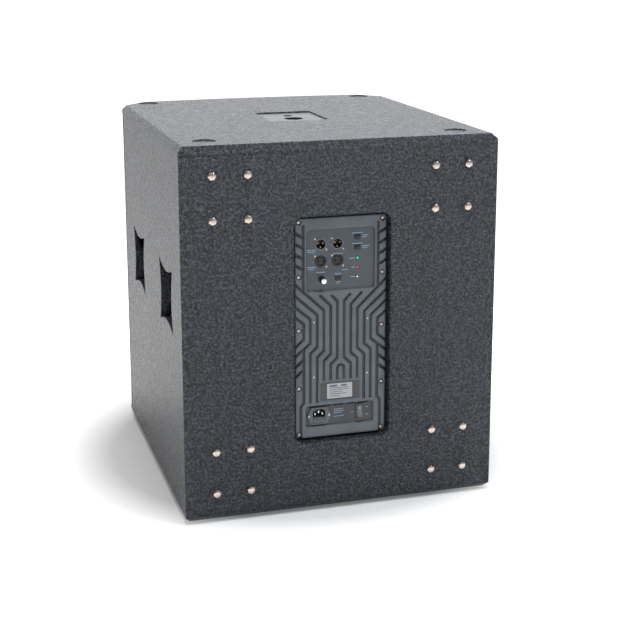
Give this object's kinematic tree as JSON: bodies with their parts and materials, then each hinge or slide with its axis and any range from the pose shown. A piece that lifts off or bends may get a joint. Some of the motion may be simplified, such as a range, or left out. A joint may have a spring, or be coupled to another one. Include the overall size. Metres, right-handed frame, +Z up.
{
  "type": "powered subwoofer",
  "caption": "Powered subwoofer in a plywood cabinet: recessed amplifier panel, side handle cups, curved grille, rubber feet, pole mount and a moving woofer.",
  "frame": {"origin": "on the floor under the middle of the whole object's box", "axes": "+Z up, -Y towards the grille, +Y towards the amplifier panel, +X to the right of a listener who faces the grille"},
  "size_m": [0.6, 0.7, 0.7],
  "materials": {
    "cabinet_paint": "textured black polyurea paint on plywood",
    "raw_plywood": "bare birch plywood",
    "painted_steel": "smooth grey-black paint",
    "black_steel": "black powder coat",
    "black_foam": "open-cell foam",
    "black_plastic": "moulded, satin",
    "grey_plastic": "moulded, satin",
    "rubber": "matte",
    "nickel_steel": "nickel plated",
    "zinc_steel": "zinc plated",
    "cast_aluminium": "slate blue-grey powder coat on a die casting",
    "circuit_board": "green solder mask",
    "ferrite": "sintered, matte",
    "copper_wire": "enamelled copper",
    "cone_paper": "pressed paper fibre",
    "doped_cloth": "treated cloth",
    "spider_cloth": "resin-dipped weave",
    "fuse_glass": "clear",
    "label_film": "satin film",
    "green_lens": "translucent",
    "red_lens": "translucent",
    "white_lens": "translucent"
  },
  "bodies": {
    "cabinet": {"top_panel": "cabinet_paint", "bottom_panel": "cabinet_paint", "left_side_panel": "cabinet_paint", "right_side_panel": "cabinet_paint", "rear_panel": "cabinet_paint", "front_baffle": "cabinet_paint", "port_shelf": "raw_plywood", "port_divider": "raw_plywood", "cabinet_brace": "raw_plywood", "amp_mounting_frame": "raw_plywood", "grille": "black_steel", "grille_foam": "black_foam", "left_front_handle_cup": "black_plastic", "left_rear_handle_cup": "black_plastic", "right_front_handle_cup": "black_plastic", "right_rear_handle_cup": "black_plastic", "front_left_foot": "rubber", "rear_left_foot": "rubber", "front_right_foot": "rubber", "rear_right_foot": "rubber", "pole_mount_plate": "painted_steel", "pole_socket_tube": "zinc_steel", "threaded_pole_insert": "zinc_steel", "upper_left_caster_bolts": "nickel_steel", "lower_left_caster_bolts": "nickel_steel", "upper_right_caster_bolts": "nickel_steel", "lower_right_caster_bolts": "nickel_steel", "amp_plate": "cast_aluminium", "amp_gasket": "black_foam", "amp_cover": "zinc_steel", "amp_board": "circuit_board", "input_board": "circuit_board", "power_transformer": "copper_wire", "xlr_output_1": "black_plastic", "xlr_output_2": "black_plastic", "xlr_input_1": "black_plastic", "xlr_input_2": "black_plastic", "level_pot": "zinc_steel", "power_led": "green_lens", "limit_led": "red_lens", "signal_led": "white_lens", "label_plate": "label_film", "power_inlet": "black_plastic", "power_switch_housing": "black_plastic", "woofer_basket": "black_steel", "magnet_top_plate": "zinc_steel", "magnet": "ferrite", "magnet_yoke": "zinc_steel", "spider": "spider_cloth", "surround": "doped_cloth"},
    "level_knob": {"level_knob": "black_plastic"},
    "crossover_button": {"crossover_button": "grey_plastic"},
    "ground_lift_button": {"ground_lift_button": "grey_plastic"},
    "polarity_button": {"polarity_button": "grey_plastic"},
    "power_rocker": {"power_rocker": "grey_plastic"},
    "fuse_drawer": {"fuse_drawer": "black_plastic", "fuse": "fuse_glass"},
    "cone_assembly": {"cone": "cone_paper", "dust_cap": "cone_paper", "voice_coil": "copper_wire"}
  },
  "joints": [
    {"name": "level_knob_turn", "type": "hinge", "parent": "cabinet", "child": "level_knob", "pos_m": [0.0357, 0.3277, 0.44265], "axis": [0, 1, 0], "range_deg": [-150, 150]},
    {"name": "crossover_button_press", "type": "slide", "parent": "cabinet", "child": "crossover_button", "axis": [0, -1, 0], "range_m": [0, 0.0025], "stiffness_N_per_m": 500},
    {"name": "ground_lift_button_press", "type": "slide", "parent": "cabinet", "child": "ground_lift_button", "axis": [0, -1, 0], "range_m": [0, 0.0025], "stiffness_N_per_m": 500},
    {"name": "polarity_button_press", "type": "slide", "parent": "cabinet", "child": "polarity_button", "axis": [0, -1, 0], "range_m": [0, 0.0025], "stiffness_N_per_m": 500},
    {"name": "power_rocker_tip", "type": "hinge", "parent": "cabinet", "child": "power_rocker", "pos_m": [-0.0387, 0.3298, 0.18175], "axis": [1, 0, 0], "range_deg": [-18, 0]},
    {"name": "fuse_drawer_slide", "type": "slide", "parent": "cabinet", "child": "fuse_drawer", "axis": [0, 1, 0], "range_m": [0, 0.022]},
    {"name": "cone_travel", "type": "slide", "parent": "cabinet", "child": "cone_assembly", "axis": [0, -1, 0], "range_m": [-0.008, 0.008], "stiffness_N_per_m": 8000, "deforming": ["surround", "spider"]}
  ]
}
